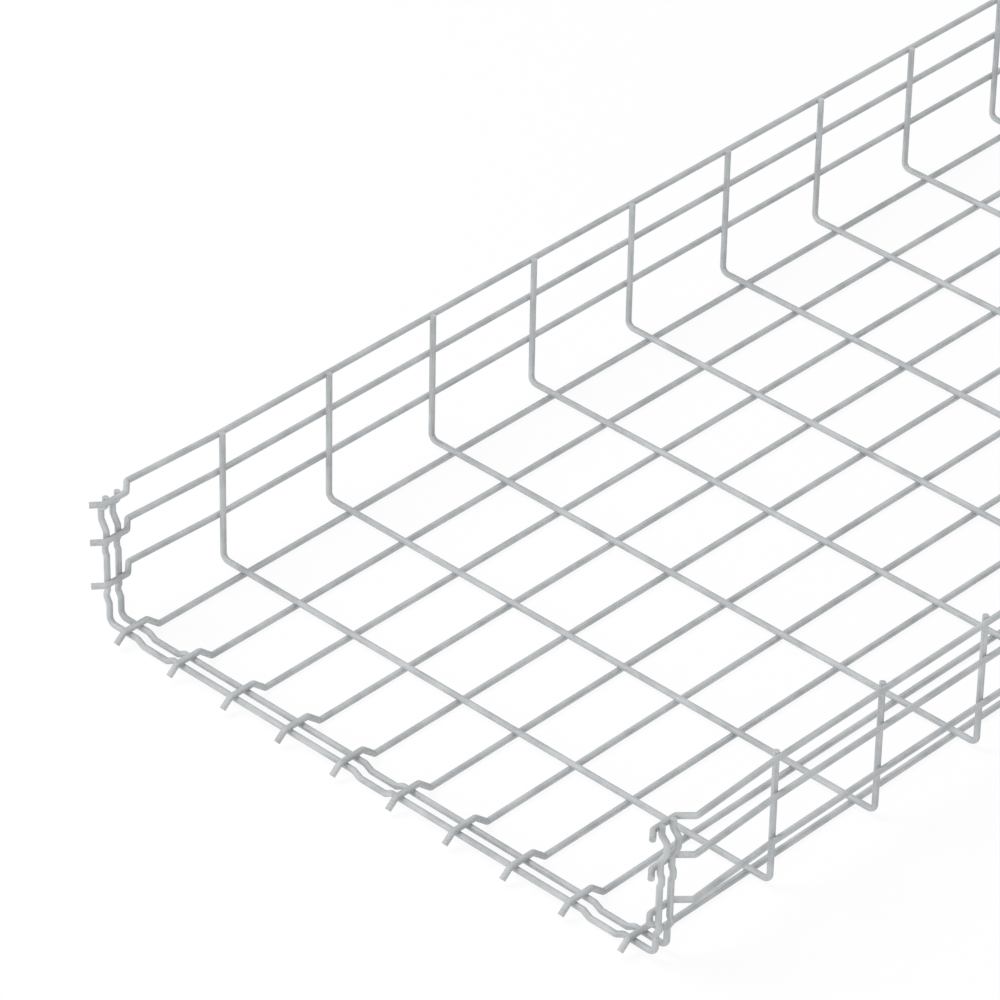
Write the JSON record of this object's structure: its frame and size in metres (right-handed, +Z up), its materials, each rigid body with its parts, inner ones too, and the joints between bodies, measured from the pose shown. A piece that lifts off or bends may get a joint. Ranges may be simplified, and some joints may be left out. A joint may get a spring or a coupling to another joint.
{
  "type": "wire mesh cable basket",
  "caption": "Long U-shaped cable tray of welded steel wire, with a formed coupler at its front end that clips over the last cross wire of the tray before it.",
  "frame": {"origin": "centre of the bounding box in X and Y, at the underside of the floor wires that the tray rests on", "axes": "+X across the tray to its right side as seen from the coupler end, +Y along the tray away from the coupler, +Z up"},
  "size_m": [0.5066, 3.0284, 0.1076],
  "materials": {
    "galvanised_wire": "zinc-galvanised drawn wire, satin light grey"
  },
  "bodies": {
    "root": {"floor_wire_01": "galvanised_wire", "floor_wire_02": "galvanised_wire", "floor_wire_03": "galvanised_wire", "floor_wire_04": "galvanised_wire", "floor_wire_05": "galvanised_wire", "floor_wire_06": "galvanised_wire", "floor_wire_07": "galvanised_wire", "floor_wire_08": "galvanised_wire", "floor_wire_09": "galvanised_wire", "floor_wire_10": "galvanised_wire", "side_wire_left_low": "galvanised_wire", "side_wire_left_middle": "galvanised_wire", "side_wire_left_top": "galvanised_wire", "side_wire_right_low": "galvanised_wire", "side_wire_right_middle": "galvanised_wire", "side_wire_right_top": "galvanised_wire", "cross_wire_01": "galvanised_wire", "cross_wire_02": "galvanised_wire", "cross_wire_03": "galvanised_wire", "cross_wire_04": "galvanised_wire", "cross_wire_05": "galvanised_wire", "cross_wire_06": "galvanised_wire", "cross_wire_07": "galvanised_wire", "cross_wire_08": "galvanised_wire", "cross_wire_09": "galvanised_wire", "cross_wire_10": "galvanised_wire", "cross_wire_11": "galvanised_wire", "cross_wire_12": "galvanised_wire", "cross_wire_13": "galvanised_wire", "cross_wire_14": "galvanised_wire", "cross_wire_15": "galvanised_wire", "cross_wire_16": "galvanised_wire", "cross_wire_17": "galvanised_wire", "cross_wire_18": "galvanised_wire", "cross_wire_19": "galvanised_wire", "cross_wire_20": "galvanised_wire", "cross_wire_21": "galvanised_wire", "cross_wire_22": "galvanised_wire", "cross_wire_23": "galvanised_wire", "cross_wire_24": "galvanised_wire", "cross_wire_25": "galvanised_wire", "cross_wire_26": "galvanised_wire", "cross_wire_27": "galvanised_wire", "cross_wire_28": "galvanised_wire", "cross_wire_29": "galvanised_wire", "cross_wire_30": "galvanised_wire", "coupler_wire_front": "galvanised_wire", "coupler_wire_rear": "galvanised_wire"}
  },
  "joints": []
}
